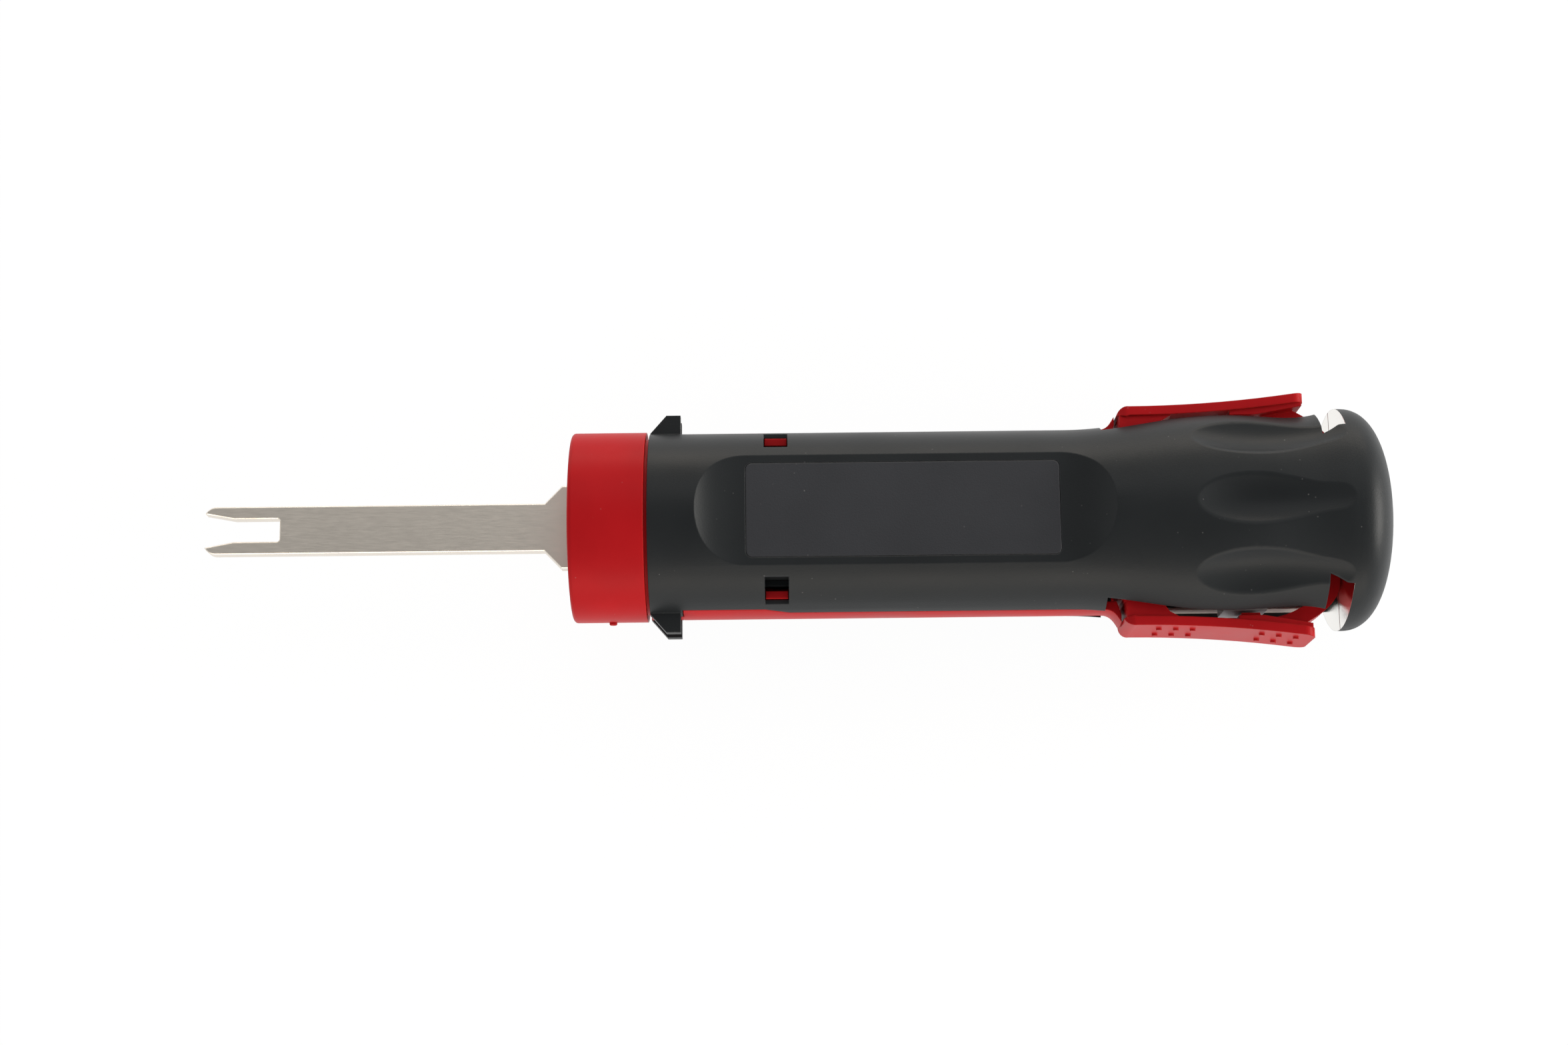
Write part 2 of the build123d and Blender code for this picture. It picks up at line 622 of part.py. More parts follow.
def left_lever_solid():
    """The +Y lever: a curved paddle, its web, the eye on the pin, a tooth and the rear arm."""
    with BuildPart() as lever:
        with BuildSketch(Plane.XY):
            with BuildLine():
                outer = CenterArc(PADDLE_CENTRE, PADDLE_CURVE_R, 270, PADDLE_SWEEP)
                inner = CenterArc(PADDLE_CENTRE, PADDLE_CURVE_R + PADDLE_THICKNESS, 270, PADDLE_SWEEP)
                Line(outer @ 1, inner @ 1)
                nose = (PADDLE_X0, NOSE_Y)
                ThreePointArc(outer @ 0, (PADDLE_X0 + 0.45, PADDLE_Y - 0.3), nose)
                Polyline(nose, (PADDLE_X0 + PADDLE_THICKNESS, NOSE_Y - 0.3), inner @ 0)
            make_face()
        extrude(amount=PADDLE_HEIGHT / 2, both=True)
        with BuildSketch(Plane.XZ):
            with Locations(((PADDLE_X0 + PADDLE_X1) / 2, 0)):
                RectangleRounded(PADDLE_X1 - PADDLE_X0, PADDLE_HEIGHT, PADDLE_END_R)
        extrude(amount=2 * PADDLE_Y, both=True, mode=Mode.INTERSECT)
        with BuildSketch(Plane.XY):
            with BuildLine():
                Polyline(
                    (PADDLE_X0 + WEB_STEP, LEVER_PIN_Y + EYE_R),
                    (PADDLE_X0 + WEB_STEP, NOSE_Y),
                    (PADDLE_FLAT_X, PADDLE_Y - PADDLE_THICKNESS / 2),
                    (WEB_X1 + PADDLE_THICKNESS, paddle_y(WEB_X1) - PADDLE_THICKNESS / 2),
                    (WEB_X1 + PADDLE_THICKNESS, paddle_y(WEB_X1) - PADDLE_THICKNESS),
                    (WEB_X1, TOOTH_Y),
                    (LEVER_PIN_X + EYE_R, LEVER_PIN_Y),
                    (LEVER_PIN_X - EYE_R, LEVER_PIN_Y),
                    close=True,
                )
            make_face()
            with BuildLine():
                Polyline(
                    (HEEL_X0, paddle_y(HEEL_X0) - PADDLE_THICKNESS / 2),
                    (PADDLE_X1 - WEB_STEP, paddle_y(PADDLE_X1) - PADDLE_THICKNESS / 2),
                    (PADDLE_X1 - WEB_STEP, paddle_y(PADDLE_X1) - 1.5 * PADDLE_THICKNESS),
                    (TOOTH_X1, TOOTH_Y + TOOTH_HEIGHT / 2),
                    (HEEL_X0, TOOTH_Y + TOOTH_HEIGHT / 2),
                    close=True,
                )
            make_face()
            with Locations((LEVER_PIN_X, LEVER_PIN_Y)):
                Circle(EYE_R)
        extrude(amount=WEB_Z, both=True)
        with BuildSketch(Plane.XY):
            with BuildLine():
                Polyline(
                    (TOOTH_X0 - WEB_STEP, TOOTH_Y + TOOTH_HEIGHT),
                    (TOOTH_X0, TOOTH_Y),
                    (TOOTH_X1 - WEB_STEP, TOOTH_Y),
                    (TOOTH_X1, TOOTH_Y + TOOTH_HEIGHT),
                    close=True,
                )
            make_face()
        extrude(amount=TOOTH_Z, both=True)
        with BuildSketch(Plane.XY):
            with BuildLine():
                Spline(*ARM_PATH)
            trace(line_width=ARM_THICKNESS)
        extrude(amount=ARM_Z, both=True)
        for start in PIP_X:
            for column in range(PIP_COLUMNS):
                x = start + column * PIP_PITCH
                tilt = math.degrees(math.asin((x - PADDLE_FLAT_X) / PADDLE_CURVE_R))
                for z in (-PIP_ROW_Z, PIP_ROW_Z):
                    face = Plane(
                        origin=(x, paddle_y(x), z),
                        x_dir=(1, 0, 0),
                        z_dir=(-math.sin(math.radians(tilt)), math.cos(math.radians(tilt)), 0),
                    )
                    with BuildSketch(face):
                        Circle(PIP_R)
                    extrude(amount=PIP_HEIGHT)
                    with BuildSketch(face):
                        Circle(PIP_R)
                    extrude(amount=-PADDLE_THICKNESS / 2)
        with BuildSketch(Plane.XY):
            with Locations((LEVER_PIN_X, LEVER_PIN_Y)):
                Circle(PIN_R + RUNNING_GAP)
        extrude(amount=PADDLE_HEIGHT, both=True, mode=Mode.SUBTRACT)
    return lever.part


left_lever = left_lever_solid()
left_lever.label = "left_lever"
right_lever = mirror(left_lever, about=Plane.XZ)
right_lever.label = "right_lever"

# ------------------------------------------------------------------ clamp jaws


def left_jaw_solid():
    """The +Y rocker: a slim arm on its pin, with a spring cup under the lever's tooth."""
    with BuildPart() as jaw:
        with BuildSketch(Plane.XY):
            with BuildLine():
                Polyline(*JAW_PATH)
            trace(line_width=JAW_THICKNESS)
            with Locations((JAW_PIN_X, JAW_PIN_Y)):
                Circle(JAW_BOSS_R)
        extrude(amount=JAW_Z, both=True)
        with Locations(((CUP_X0 + CUP_X1) / 2, (CUP_Y0 + CUP_Y1) / 2, 0)):
            Box(CUP_X1 - CUP_X0, CUP_Y1 - CUP_Y0, 2 * TOOTH_Z)
        with BuildSketch(Plane.XZ.offset(-CUP_Y0)):
            with Locations((SPRING_X, 0)):
                Circle(STUD_R)
        extrude(amount=STUD_LENGTH)
        with BuildSketch(Plane.XY):
            with Locations((JAW_PIN_X, JAW_PIN_Y)):
                Circle(PIN_R + RUNNING_GAP)
        extrude(amount=2 * JAW_Z, both=True, mode=Mode.SUBTRACT)
    return jaw.part


left_jaw = left_jaw_solid()
left_jaw.label = "left_jaw"
right_jaw = mirror(left_jaw, about=Plane.XZ)
right_jaw.label = "right_jaw"

with BuildPart() as left_jaw_pad:
    with Locations(((PAD_X0 + PAD_X1) / 2, (PAD_Y0 + PAD_Y1) / 2, 0)):
        Box(PAD_X1 - PAD_X0, PAD_Y1 - PAD_Y0, 2 * PAD_Z)
left_jaw_pad.part.label = "left_jaw_pad"

with BuildPart() as right_jaw_pad:
    with Locations(((PAD_X0 + PAD_X1) / 2, -(PAD_Y0 + PAD_Y1) / 2, 0)):
        Box(PAD_X1 - PAD_X0, PAD_Y1 - PAD_Y0, 2 * PAD_Z)
right_jaw_pad.part.label = "right_jaw_pad"

left_lever_pin = pin(LEVER_PIN_X, LEVER_PIN_Y, LEVER_PIN_Z)
left_lever_pin.label = "left_lever_pin"
right_lever_pin = pin(LEVER_PIN_X, -LEVER_PIN_Y, LEVER_PIN_Z)
right_lever_pin.label = "right_lever_pin"
left_jaw_pin = pin(JAW_PIN_X, JAW_PIN_Y, JAW_PIN_Z)
left_jaw_pin.label = "left_jaw_pin"
right_jaw_pin = pin(JAW_PIN_X, -JAW_PIN_Y, JAW_PIN_Z)
right_jaw_pin.label = "right_jaw_pin"

# ------------------------------------------------------------------ clamp spring

with BuildPart() as clamp_spring:
    spring_half = CUP_Y0 - SPRING_END_GAP - WIRE_R
    with BuildLine():
        coil = Helix(
            pitch=2 * spring_half / SPRING_TURNS,
            height=2 * spring_half,
            radius=SPRING_R,
            center=(SPRING_X, -spring_half, 0),
            direction=(0, 1, 0),
        )
    with BuildSketch(Plane(origin=coil @ 0, z_dir=coil % 0)):
        Circle(WIRE_R)
    sweep(path=coil, is_frenet=True)
clamp_spring.part.label = "clamp_spring"

# ------------------------------------------------------------------ output

os.makedirs("parts", exist_ok=True)
export_step(upper_shell.part, "parts/upper_shell.step")
export_step(lower_shell.part, "parts/lower_shell.step")
export_step(upper_plate, "parts/upper_marking_plate.step")
export_step(lower_plate, "parts/lower_marking_plate.step")
export_step(upper_strips, "parts/upper_slot_strips.step")
export_step(lower_strips, "parts/lower_slot_strips.step")
export_step(nose_collar.part, "parts/nose_collar.step")
export_step(blade_guide.part, "parts/blade_guide.step")
export_step(carrier_tray.part, "parts/carrier_tray.step")
export_step(carrier_cover.part, "parts/carrier_cover.step")
export_step(shell_screws, "parts/shell_screws.step")
export_step(carrier_screws, "parts/carrier_screws.step")
export_step(blade.part, "parts/blade.step")
export_step(left_lever, "parts/left_lever.step")
export_step(right_lever, "parts/right_lever.step")
export_step(left_jaw, "parts/left_jaw.step")
export_step(right_jaw, "parts/right_jaw.step")
export_step(left_jaw_pad.part, "parts/left_jaw_pad.step")
export_step(right_jaw_pad.part, "parts/right_jaw_pad.step")
export_step(left_lever_pin, "parts/left_lever_pin.step")
export_step(right_lever_pin, "parts/right_lever_pin.step")
export_step(left_jaw_pin, "parts/left_jaw_pin.step")
export_step(right_jaw_pin, "parts/right_jaw_pin.step")
export_step(clamp_spring.part, "parts/clamp_spring.step")
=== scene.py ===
"""Looks of a terminal release tool: finishes, a gate pip and a studio stage.

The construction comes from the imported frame. Everything is in metres, in the frame's own axes:
the tool lies along X with its blade towards -X, the levers are on +Y and -Y, and Z is up.
"""

import math

import bpy
from bpy.props import FloatProperty, FloatVectorProperty, PointerProperty
from bpy.types import Operator, Panel, PropertyGroup
from mathutils import Matrix, Vector


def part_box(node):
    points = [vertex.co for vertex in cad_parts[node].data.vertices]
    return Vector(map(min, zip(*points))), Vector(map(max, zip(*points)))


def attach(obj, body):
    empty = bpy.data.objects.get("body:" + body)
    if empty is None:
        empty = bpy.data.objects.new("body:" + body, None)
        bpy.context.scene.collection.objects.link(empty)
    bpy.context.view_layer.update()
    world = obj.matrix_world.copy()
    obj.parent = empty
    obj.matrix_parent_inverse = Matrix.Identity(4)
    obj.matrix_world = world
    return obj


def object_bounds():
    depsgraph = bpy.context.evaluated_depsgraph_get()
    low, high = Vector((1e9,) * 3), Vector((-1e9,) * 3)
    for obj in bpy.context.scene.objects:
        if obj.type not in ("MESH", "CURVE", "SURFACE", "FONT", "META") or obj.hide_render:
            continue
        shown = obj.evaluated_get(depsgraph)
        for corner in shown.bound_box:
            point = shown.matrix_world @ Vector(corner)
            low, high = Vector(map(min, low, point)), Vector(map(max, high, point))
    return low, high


bl_info = {
    "name": "Release Tool Looks",
    "version": (1, 0, 0),
    "blender": (4, 5, 0),
    "location": "3D View > Sidebar > Release Tool",
    "description": "Finishes the packed release tool and sets it on a studio stage",
    "category": "Object",
}

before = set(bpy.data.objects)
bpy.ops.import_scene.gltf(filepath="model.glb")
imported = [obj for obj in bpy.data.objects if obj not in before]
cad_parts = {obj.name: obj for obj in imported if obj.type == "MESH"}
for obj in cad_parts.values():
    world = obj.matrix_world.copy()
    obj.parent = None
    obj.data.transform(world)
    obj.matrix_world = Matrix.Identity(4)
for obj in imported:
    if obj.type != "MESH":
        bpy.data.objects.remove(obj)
CAD_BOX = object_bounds()
MM = 0.001

# Nodes by finish
SHELLS = ("upper_shell", "lower_shell")
PLATES = ("upper_marking_plate", "lower_marking_plate")
RED_PIECES = ("nose_collar", "carrier_tray", "carrier_cover", "left_lever", "right_lever")
INNER_STEEL = ("blade_guide", "left_jaw", "right_jaw")
BRIGHT_STEEL = (
    "shell_screws",
    "carrier_screws",
    "left_lever_pin",
    "right_lever_pin",
    "left_jaw_pin",
    "right_jaw_pin",
    "clamp_spring",
)
PADS = ("left_jaw_pad", "right_jaw_pad")
STRIPS = ("upper_slot_strips", "lower_slot_strips")

# Colours that go with the finishes. The edge colours make lighter edges, partly wear and partly
# painted highlight; the facing colour and the strip colour are painted reflections.
SHELL_EDGE_WEAR_AND_SHEEN = (0.052, 0.056, 0.06)
# painted highlight: the colour of the red pieces' lit edges
RED_EDGE_HIGHLIGHT = (0.66, 0.03, 0.02)
# painted reflection on the black cap's front face
REFLECTION_FACING_COLOR = (0.86, 0.84, 0.80)
# painted reflection of the bright surroundings on the slot strips
STRIP_REFLECTION_COLOR = (0.86, 0.84, 0.79)
STRIP_EDGE_WEAR_AND_SHEEN = (0.9, 0.88, 0.84)
RUBBER_COLOR = (0.02, 0.02, 0.021)
RUBBER_EDGE_WEAR_AND_SHEEN = (0.05, 0.05, 0.05)
DUST_COLOR = (0.32, 0.31, 0.3)

# Finish details
STEEL_EDGE_RADIUS = 0.00012
STEEL_GRAIN_DEPTH = 0.000004
TONE_LOW = 0.3
TONE_HIGH = 0.7
CAP_LENGTH = 6.4 * MM
# where the painted reflection facing sits, and how much smoother it is
FACING_DEPTH = 0.2 * MM
FACING_NORMAL_X = -0.9
FACING_POLISH = 0.3
STEEL_BRIGHTENING = 1.25

# Gate pip on the collar
PIP_RADIUS = 0.5 * MM
PIP_HEIGHT = 0.5 * MM
PIP_ROUNDING = 0.18 * MM
PIP_FORWARD = 1.3 * MM
PIP_Z = -1.5 * MM

# Stage
FLOOR_SIZE = 6.0
FLOOR_GAP = 0.0002
FLOOR_GREY = 0.86
FLOOR_GLOW = 1.03
FLOOR_GLOW_SHARE = 0.93
TENT_EDGE = 0.20
LAMP_TARGET = (0.028, 0, 0)
WHITE_LIGHT = (1.0, 1.0, 1.0)
WARM_LIGHT = (1.0, 0.90, 0.78)
CAP_LIGHT = (1.0, 0.97, 0.92)
CAMERA_TARGET_X = 26.27 * MM
CAMERA_TARGET_RISE_MM = 0.47
SENSOR_WIDTH = 36.0


# ------------------------------------------------------------------ sizes and colours


class PlasticFinish(PropertyGroup):
    """Colours and surface of the moulded plastics."""

    shell_color: FloatVectorProperty(
        name="Shell colour",
        description="Slate black of the grip shells",
        subtype="COLOR",
        size=3,
        min=0,
        max=1,
        default=(0.0140, 0.0162, 0.0176),
    )
    plate_color: FloatVectorProperty(
        name="Plate colour",
        description="Bare marking plate, a little greyer than the shells",
        subtype="COLOR",
        size=3,
        min=0,
        max=1,
        default=(0.0260, 0.0272, 0.0318),
    )
    red_color: FloatVectorProperty(
        name="Red",
        description="Red of the collar, the inner body and the levers",
        subtype="COLOR",
        size=3,
        min=0,
        max=1,
        default=(0.46, 0.0090, 0.0120),
    )
    grain_size: FloatProperty(
        name="Grain size",
        description="Size of the moulded grain",
        unit="LENGTH",
        default=0.00022,
    )
    grain_depth: FloatProperty(
        name="Grain depth",
        description="Height of the moulded grain",
        unit="LENGTH",
        default=0.000012,
    )
    edge_radius: FloatProperty(
        name="Edge radius",
        description="Rounding that catches light along moulded edges",
        unit="LENGTH",
        default=0.00022,
    )


class MetalFinish(PropertyGroup):
    """Colours and surface of the steel pieces."""

    blade_color: FloatVectorProperty(
        name="Blade colour",
        description="Warm grey of the satin blade",
        subtype="COLOR",
        size=3,
        min=0,
        max=1,
        default=(0.80, 0.735, 0.65),
    )
    steel_color: FloatVectorProperty(
        name="Steel colour",
        description="Plain steel of the inner pieces",
        subtype="COLOR",
        size=3,
        min=0,
        max=1,
        default=(0.46, 0.46, 0.47),
    )
    grain_length: FloatProperty(
        name="Grain length",
        description="Length of a rolling mark along the blade",
        unit="LENGTH",
        default=0.0016,
    )
    grain_width: FloatProperty(
        name="Grain width",
        description="Width of a rolling mark across the blade",
        unit="LENGTH",
        default=0.00016,
    )


class StageSizes(PropertyGroup):
    """Camera, lamps and floor."""

    elevation: FloatProperty(
        name="Elevation",
        description="Camera's height angle above the floor",
        unit="ROTATION",
        default=math.radians(77.5),
    )
    roll: FloatProperty(
        name="Roll",
        description="Turn of the camera about its own axis",
        unit="ROTATION",
        default=math.radians(-0.63),
    )
    distance: FloatProperty(
        name="Distance",
        description="From the camera to the point that it looks at",
        unit="LENGTH",
        default=0.330,
    )
    view_width: FloatProperty(
        name="View width",
        description="Width that the camera sees at that distance",
        unit="LENGTH",
        default=0.200,
    )
    key_power: FloatProperty(
        name="Key lamp",
        description="Power of the top lamp",
        unit="POWER",
        default=0.4,
    )
    side_power: FloatProperty(
        name="Side lamps",
        description="Power of each side lamp",
        unit="POWER",
        default=1.5,
    )
    tent_side: FloatProperty(
        name="Tent sides",
        description="Even light from around the tool",
        default=0.85,
    )
    tent_top: FloatProperty(
        name="Tent top",
        description="Even light from above the tool",
        default=0.27,
    )


# ------------------------------------------------------------------ shader node helpers


def new_group(name, inputs, outputs):
    """An empty shader node group with named sockets: (name, socket type, default)."""
    group = bpy.data.node_groups.new(name, "ShaderNodeTree")
    for label, kind, default in inputs:
        socket = group.interface.new_socket(label, in_out="INPUT", socket_type=kind)
        if default is not None:
            socket.default_value = default
    for label, kind in outputs:
        group.interface.new_socket(label, in_out="OUTPUT", socket_type=kind)
    entry = group.nodes.new("NodeGroupInput")
    result = group.nodes.new("NodeGroupOutput")
    return group, entry, result


def add_node(tree, kind, **values):
    """A node with some of its own settings changed."""
    node = tree.nodes.new(kind)
    for key, value in values.items():
        setattr(node, key, value)
    return node


def math_node(tree, operation, first, second):
    """A math node; each operand is a socket or a number."""
    node = add_node(tree, "ShaderNodeMath", operation=operation)
    for slot, operand in enumerate((first, second)):
        if isinstance(operand, (int, float)):
            node.inputs[slot].default_value = operand
        else:
            tree.links.new(operand, node.inputs[slot])
    return node.outputs[0]


def noise(tree, vector, scale, detail, roughness=0.5):
    """A noise texture's value; the scale is a socket or a number."""
    node = add_node(tree, "ShaderNodeTexNoise")
    node.inputs["Detail"].default_value = detail
    node.inputs["Roughness"].default_value = roughness
    if isinstance(scale, (int, float)):
        node.inputs["Scale"].default_value = scale
    else:
        tree.links.new(scale, node.inputs["Scale"])
    tree.links.new(vector, node.inputs["Vector"])
    return node.outputs["Fac"]


def map_range(tree, value, low, high, to_low, to_high):
    """Value moved from one range to another, and held inside it."""
    node = add_node(tree, "ShaderNodeMapRange", clamp=True)
    tree.links.new(value, node.inputs["Value"])
    node.inputs["From Min"].default_value = low
    node.inputs["From Max"].default_value = high
    node.inputs["To Min"].default_value = to_low
    node.inputs["To Max"].default_value = to_high
    return node.outputs["Result"]


def blend_color(tree, factor, first, second):
    """A colour mix; each colour is a socket or three numbers."""
    node = add_node(tree, "ShaderNodeMix", data_type="RGBA", blend_type="MIX")
    tree.links.new(factor, node.inputs[0])
    for slot, color in ((6, first), (7, second)):
        if isinstance(color, (tuple, list)):
            node.inputs[slot].default_value = (*color, 1.0)
        else:
            tree.links.new(color, node.inputs[slot])
    return node.outputs[2]


def edge_wear_and_sheen_group():
    """Mask of the rounded edges, for a lighter edge colour that is partly wear and partly painted
    highlight, and the normal that rounds them.
    """
    group, entry, result = new_group(
        "Edge Wear and Sheen",
        [("Radius", "NodeSocketFloat", 0.0002), ("Vector", "NodeSocketVector", None)],
        [("Mask", "NodeSocketFloat"), ("Normal", "NodeSocketVector")],
    )
    bevel = add_node(group, "ShaderNodeBevel", samples=6)
    group.links.new(entry.outputs["Radius"], bevel.inputs["Radius"])
    geometry = add_node(group, "ShaderNodeNewGeometry")
    facing = add_node(group, "ShaderNodeVectorMath", operation="DOT_PRODUCT")
    group.links.new(bevel.outputs["Normal"], facing.inputs[0])
    group.links.new(geometry.outputs["Normal"], facing.inputs[1])
    edge = map_range(group, facing.outputs["Value"], 0.97, 0.72, 0.0, 1.0)
    patches = noise(group, entry.outputs["Vector"], scale=900.0, detail=3.0)
    worn_and_lit_edges = map_range(group, patches, 0.35, 0.6, 0.35, 1.0)
    group.links.new(math_node(group, "MULTIPLY", edge, worn_and_lit_edges), result.inputs["Mask"])
    group.links.new(bevel.outputs["Normal"], result.inputs["Normal"])
    return group


def grain_group():
    """Fine moulded grain with slow flow marks: a height and a tone."""
    group, entry, result = new_group(
        "Moulded Grain",
        [("Size", "NodeSocketFloat", 0.0002), ("Vector", "NodeSocketVector", None)],
        [("Height", "NodeSocketFloat"), ("Tone", "NodeSocketFloat")],
    )
    scale = math_node(group, "DIVIDE", 1.0, entry.outputs["Size"])
    fine = noise(group, entry.outputs["Vector"], scale, detail=2.0, roughness=0.6)
    flow = noise(group, entry.outputs["Vector"], scale=90.0, detail=3.0)
    group.links.new(fine, result.inputs["Height"])
    group.links.new(flow, result.inputs["Tone"])
    return group


def dust_group():
    """Sparse specks and soft handling marks, as a mask."""
    group, entry, result = new_group(
        "Light Dust",
        [("Amount", "NodeSocketFloat", 0.3), ("Vector", "NodeSocketVector", None)],
        [("Mask", "NodeSocketFloat")],
    )
    specks = add_node(group, "ShaderNodeTexVoronoi", feature="F1")
    specks.inputs["Scale"].default_value = 700.0
    group.links.new(entry.outputs["Vector"], specks.inputs["Vector"])
    dots = map_range(group, specks.outputs["Distance"], 0.09, 0.04, 0.0, 1.0)
    blotches = noise(group, entry.outputs["Vector"], scale=160.0, detail=2.0)
    patches = map_range(group, blotches, 0.5, 0.68, 0.0, 1.0)
    sparse = math_node(group, "MULTIPLY", dots, patches)
    mask = math_node(group, "MULTIPLY", sparse, entry.outputs["Amount"])
    group.links.new(mask, result.inputs["Mask"])
    return group


def rolled_group():
    """Rolling marks drawn out along X, as a height and a tone."""
    group, entry, result = new_group(
        "Rolled Steel",
        [
            ("Length", "NodeSocketFloat", 0.0016),
            ("Width", "NodeSocketFloat", 0.00016),
            ("Vector", "NodeSocketVector", None),
        ],
        [("Height", "NodeSocketFloat"), ("Tone", "NodeSocketFloat")],
    )
    spacing = add_node(group, "ShaderNodeCombineXYZ")
    group.links.new(entry.outputs["Length"], spacing.inputs["X"])
    group.links.new(entry.outputs["Width"], spacing.inputs["Y"])
    group.links.new(entry.outputs["Width"], spacing.inputs["Z"])
    stretched = add_node(group, "ShaderNodeVectorMath", operation="DIVIDE")
    group.links.new(entry.outputs["Vector"], stretched.inputs[0])
    group.links.new(spacing.outputs["Vector"], stretched.inputs[1])
    lines = noise(group, stretched.outputs["Vector"], scale=1.0, detail=2.0, roughness=0.6)
    group.links.new(lines, result.inputs["Height"])
    clouds = noise(group, entry.outputs["Vector"], scale=260.0, detail=4.0)
    group.links.new(clouds, result.inputs["Tone"])
    return group


def shared_group(name, maker):
    """The node group of that name, made on its first use."""
    return bpy.data.node_groups.get(name) or maker()


def place_group(tree, name, maker, vector, **values):
    """A shared group placed in a material, with its own values."""
    node = tree.nodes.new("ShaderNodeGroup")
    node.node_tree = shared_group(name, maker)
    for label, number in values.items():
        node.inputs[label].default_value = number
    tree.links.new(vector, node.inputs["Vector"])
    return node


def start_material(name):
    """A material with an empty tree, a Principled shader and object coordinates."""
    material = bpy.data.materials.new(name)
    material.use_nodes = True
    tree = material.node_tree
    tree.nodes.clear()
    shader = tree.nodes.new("ShaderNodeBsdfPrincipled")
    output = tree.nodes.new("ShaderNodeOutputMaterial")
    tree.links.new(shader.outputs["BSDF"], output.inputs["Surface"])
    vector = tree.nodes.new("ShaderNodeTexCoord").outputs["Object"]
    return material, tree, shader, vector


def plastic(
    name, color, edge_wear_and_sheen_color, finish, roughness, grain=1.0, dust=0.25, specular=0.5, ior=1.5
):
    """Moulded plastic: grain, slow flow marks, lighter edges that are partly wear and partly
    painted highlight, and a little dust.
    """
    material, tree, shader, vector = start_material(name)
    edge_wear_and_sheen = place_group(tree, "Edge Wear and Sheen", edge_wear_and_sheen_group, vector, Radius=finish.edge_radius)
    skin = place_group(tree, "Moulded Grain", grain_group, vector, Size=finish.grain_size)
    specks = place_group(tree, "Light Dust", dust_group, vector, Amount=dust)
    tone = map_range(tree, skin.outputs["Tone"], TONE_LOW, TONE_HIGH, 0.0, 1.0)
    darker = tuple(0.9 * c for c in color)
    lighter = tuple(1.1 * c for c in color)
    base = blend_color(tree, tone, darker, lighter)
    # lighter edge colour: partly wear, partly painted highlight
    worn_and_lit_edges = blend_color(tree, edge_wear_and_sheen.outputs["Mask"], base, edge_wear_and_sheen_color)
    dusty = blend_color(tree, specks.outputs["Mask"], worn_and_lit_edges, DUST_COLOR)
    tree.links.new(dusty, shader.inputs["Base Color"])
    smoothest, roughest = roughness - 0.04, roughness + 0.05
    rough = map_range(tree, skin.outputs["Tone"], TONE_LOW, TONE_HIGH, smoothest, roughest)
    tree.links.new(rough, shader.inputs["Roughness"])
    shader.inputs["Specular IOR Level"].default_value = specular
    shader.inputs["IOR"].default_value = ior
    bump = add_node(tree, "ShaderNodeBump")
    bump.inputs["Distance"].default_value = finish.grain_depth * grain
    bump.inputs["Strength"].default_value = 1.0
    tree.links.new(skin.outputs["Height"], bump.inputs["Height"])
    tree.links.new(edge_wear_and_sheen.outputs["Normal"], bump.inputs["Normal"])
    tree.links.new(bump.outputs["Normal"], shader.inputs["Normal"])
    return material


def painted_reflection_facing(material, face_x, color):
    """Turns the faces that look to -X at face_x into a polished bright metallic facing: a painted
    reflection for the light that the black cap face reflects.
    """
    tree = material.node_tree
    shader = next(node for node in tree.nodes if node.type == "BSDF_PRINCIPLED")
    place = tree.nodes.new("ShaderNodeSeparateXYZ")
    tree.links.new(tree.nodes.new("ShaderNodeTexCoord").outputs["Object"], place.inputs[0])
    facing = tree.nodes.new("ShaderNodeSeparateXYZ")
    tree.links.new(tree.nodes.new("ShaderNodeNewGeometry").outputs["True Normal"], facing.inputs[0])
    near = math_node(tree, "COMPARE", place.outputs["X"], face_x)
    near.node.inputs[2].default_value = FACING_DEPTH
    forward = math_node(tree, "LESS_THAN", facing.outputs["X"], FACING_NORMAL_X)
    mask = math_node(tree, "MULTIPLY", near, forward)
    # painted reflection: the masked faces get a bright colour, turn metallic and get smoother
    plain = shader.inputs["Base Color"].links[0].from_socket
    tree.links.new(blend_color(tree, mask, plain, color), shader.inputs["Base Color"])
    rough = shader.inputs["Roughness"].links[0].from_socket
    polish = math_node(tree, "MULTIPLY", mask, FACING_POLISH)
    smooth = math_node(tree, "SUBTRACT", rough, polish)
    tree.links.new(smooth, shader.inputs["Roughness"])
    tree.links.new(mask, shader.inputs["Metallic"])


